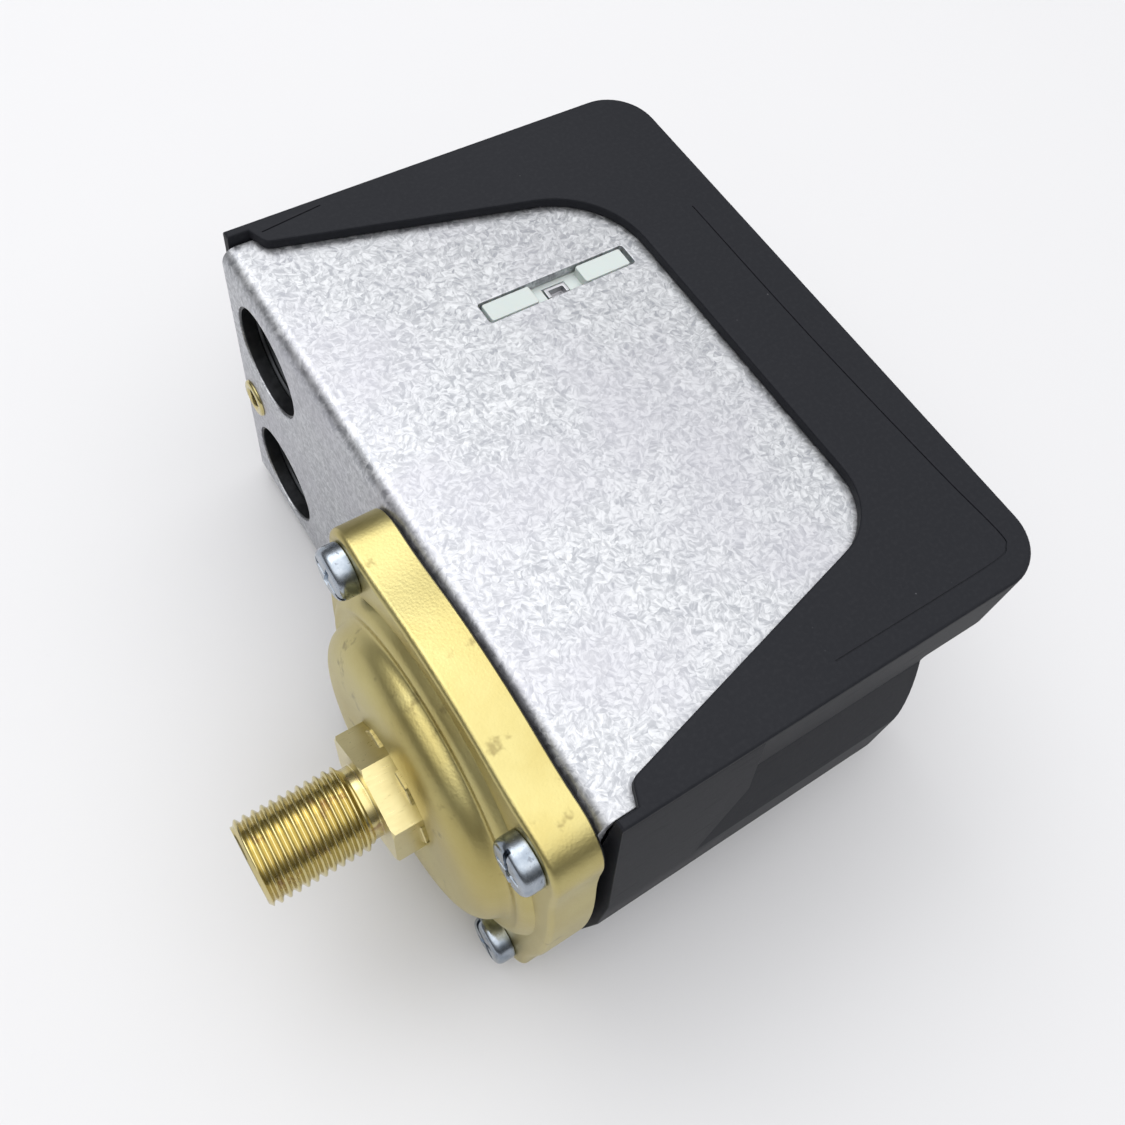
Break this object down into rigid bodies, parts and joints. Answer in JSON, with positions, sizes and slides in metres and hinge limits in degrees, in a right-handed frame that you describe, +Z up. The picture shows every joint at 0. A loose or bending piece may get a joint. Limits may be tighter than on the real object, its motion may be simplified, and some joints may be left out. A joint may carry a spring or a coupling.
{
  "type": "pressure switch",
  "caption": "Diaphragm pressure switch with a threaded brass port, folded steel chassis, wrap-round plastic cover, adjusting springs, contact set and conduit holes.",
  "frame": {"origin": "middle of the footprint, on the plane that the side panel of the cover lies on", "axes": "+X from the pressure port to the top of the cover, +Y from the front with the hood to the back, +Z up out of the side panel"},
  "size_m": [0.112, 0.1098, 0.062],
  "materials": {
    "galvanised_steel": "galvanised with fine feathery spangle, satin",
    "charcoal_plastic": "fine matt moulding texture",
    "housing_brass": "fine-blasted casting with turned hexagon and thread",
    "nut_brass": "turned",
    "black_rubber": "matt",
    "white_plastic": "moulded, slightly translucent",
    "spring_steel": "drawn wire",
    "copper_alloy": "stamped strip",
    "scale_enamel": "plain light enamel without printing",
    "zinc_plated": "bright zinc plating"
  },
  "bodies": {
    "chassis": {"chassis": "galvanised_steel", "diaphragm_housing": "housing_brass", "flange_screw_1": "zinc_plated", "flange_screw_2": "zinc_plated", "flange_screw_3": "zinc_plated", "flange_screw_4": "zinc_plated", "diaphragm": "black_rubber", "pivot_bracket": "galvanised_steel", "pivot_pin": "spring_steel", "spring_yoke": "galvanised_steel", "scale_plate": "scale_enamel", "contact_base": "white_plastic", "contact_clip": "spring_steel", "terminal_1": "copper_alloy", "terminal_2": "copper_alloy", "terminal_3": "copper_alloy", "terminal_4": "copper_alloy", "terminal_5": "copper_alloy", "terminal_6": "copper_alloy", "terminal_screw_1": "zinc_plated", "terminal_screw_2": "zinc_plated", "terminal_screw_3": "zinc_plated", "terminal_screw_4": "zinc_plated", "terminal_screw_5": "zinc_plated", "terminal_screw_6": "zinc_plated", "conduit_ring_1": "zinc_plated", "conduit_ring_2": "zinc_plated", "earth_nut": "nut_brass", "earth_screw": "zinc_plated"},
    "cover": {"cover": "charcoal_plastic"},
    "cover_screw": {"cover_screw": "zinc_plated"},
    "thrust_plate": {"thrust_plate": "zinc_plated"},
    "main_lever": {"main_lever": "galvanised_steel"},
    "range_screw": {"range_screw": "zinc_plated"},
    "range_nut": {"range_nut": "zinc_plated", "range_spring": "spring_steel"},
    "differential_screw": {"differential_screw": "zinc_plated"},
    "differential_nut": {"differential_nut": "zinc_plated", "differential_spring": "spring_steel"},
    "contact_carrier": {"contact_carrier": "white_plastic", "contact_bridge_1": "copper_alloy", "contact_bridge_2": "copper_alloy", "contact_bridge_3": "copper_alloy"}
  },
  "joints": [
    {"name": "cover_slide", "type": "slide", "parent": "chassis", "child": "cover", "axis": [1, 0, 0], "range_m": [0, 0.085]},
    {"name": "cover_screw_turn", "type": "hinge", "parent": "cover", "child": "cover_screw", "pos_m": [0.04615, -0.0461, 0.031], "axis": [0, -1, 0], "continuous": true},
    {"name": "range_screw_turn", "type": "hinge", "parent": "chassis", "child": "range_screw", "pos_m": [0.04015, -0.02345, 0.031], "axis": [1, 0, 0], "range_deg": [0, 1728.5]},
    {"name": "range_nut_slide", "type": "slide", "parent": "chassis", "child": "range_nut", "axis": [1, 0, 0], "range_m": [0, 0.006]},
    {"name": "differential_screw_turn", "type": "hinge", "parent": "chassis", "child": "differential_screw", "pos_m": [0.04015, -0.0011, 0.031], "axis": [1, 0, 0], "range_deg": [0, 2469]},
    {"name": "differential_nut_slide", "type": "slide", "parent": "chassis", "child": "differential_nut", "axis": [1, 0, 0], "range_m": [0, 0.0048]},
    {"name": "plunger_slide", "type": "slide", "parent": "chassis", "child": "thrust_plate", "axis": [1, 0, 0], "range_m": [0, 0.0006], "stiffness_N_per_m": 300},
    {"name": "lever_turn", "type": "hinge", "parent": "chassis", "child": "main_lever", "pos_m": [-0.00385, -0.0431, 0.031], "axis": [0, 0, -1], "range_deg": [0, 1.77]},
    {"name": "carrier_slide", "type": "slide", "parent": "chassis", "child": "contact_carrier", "axis": [1, 0, 0], "range_m": [0, 0.00202]}
  ],
  "couplings": [
    {"joint": "range_screw_turn", "follows": "range_nut_slide", "rad_per_m": 5026.5},
    {"joint": "differential_screw_turn", "follows": "differential_nut_slide", "rad_per_m": 8976},
    {"joint": "lever_turn", "follows": "plunger_slide", "rad_per_m": 50.891},
    {"joint": "carrier_slide", "follows": "plunger_slide", "ratio": 3.3588}
  ]
}
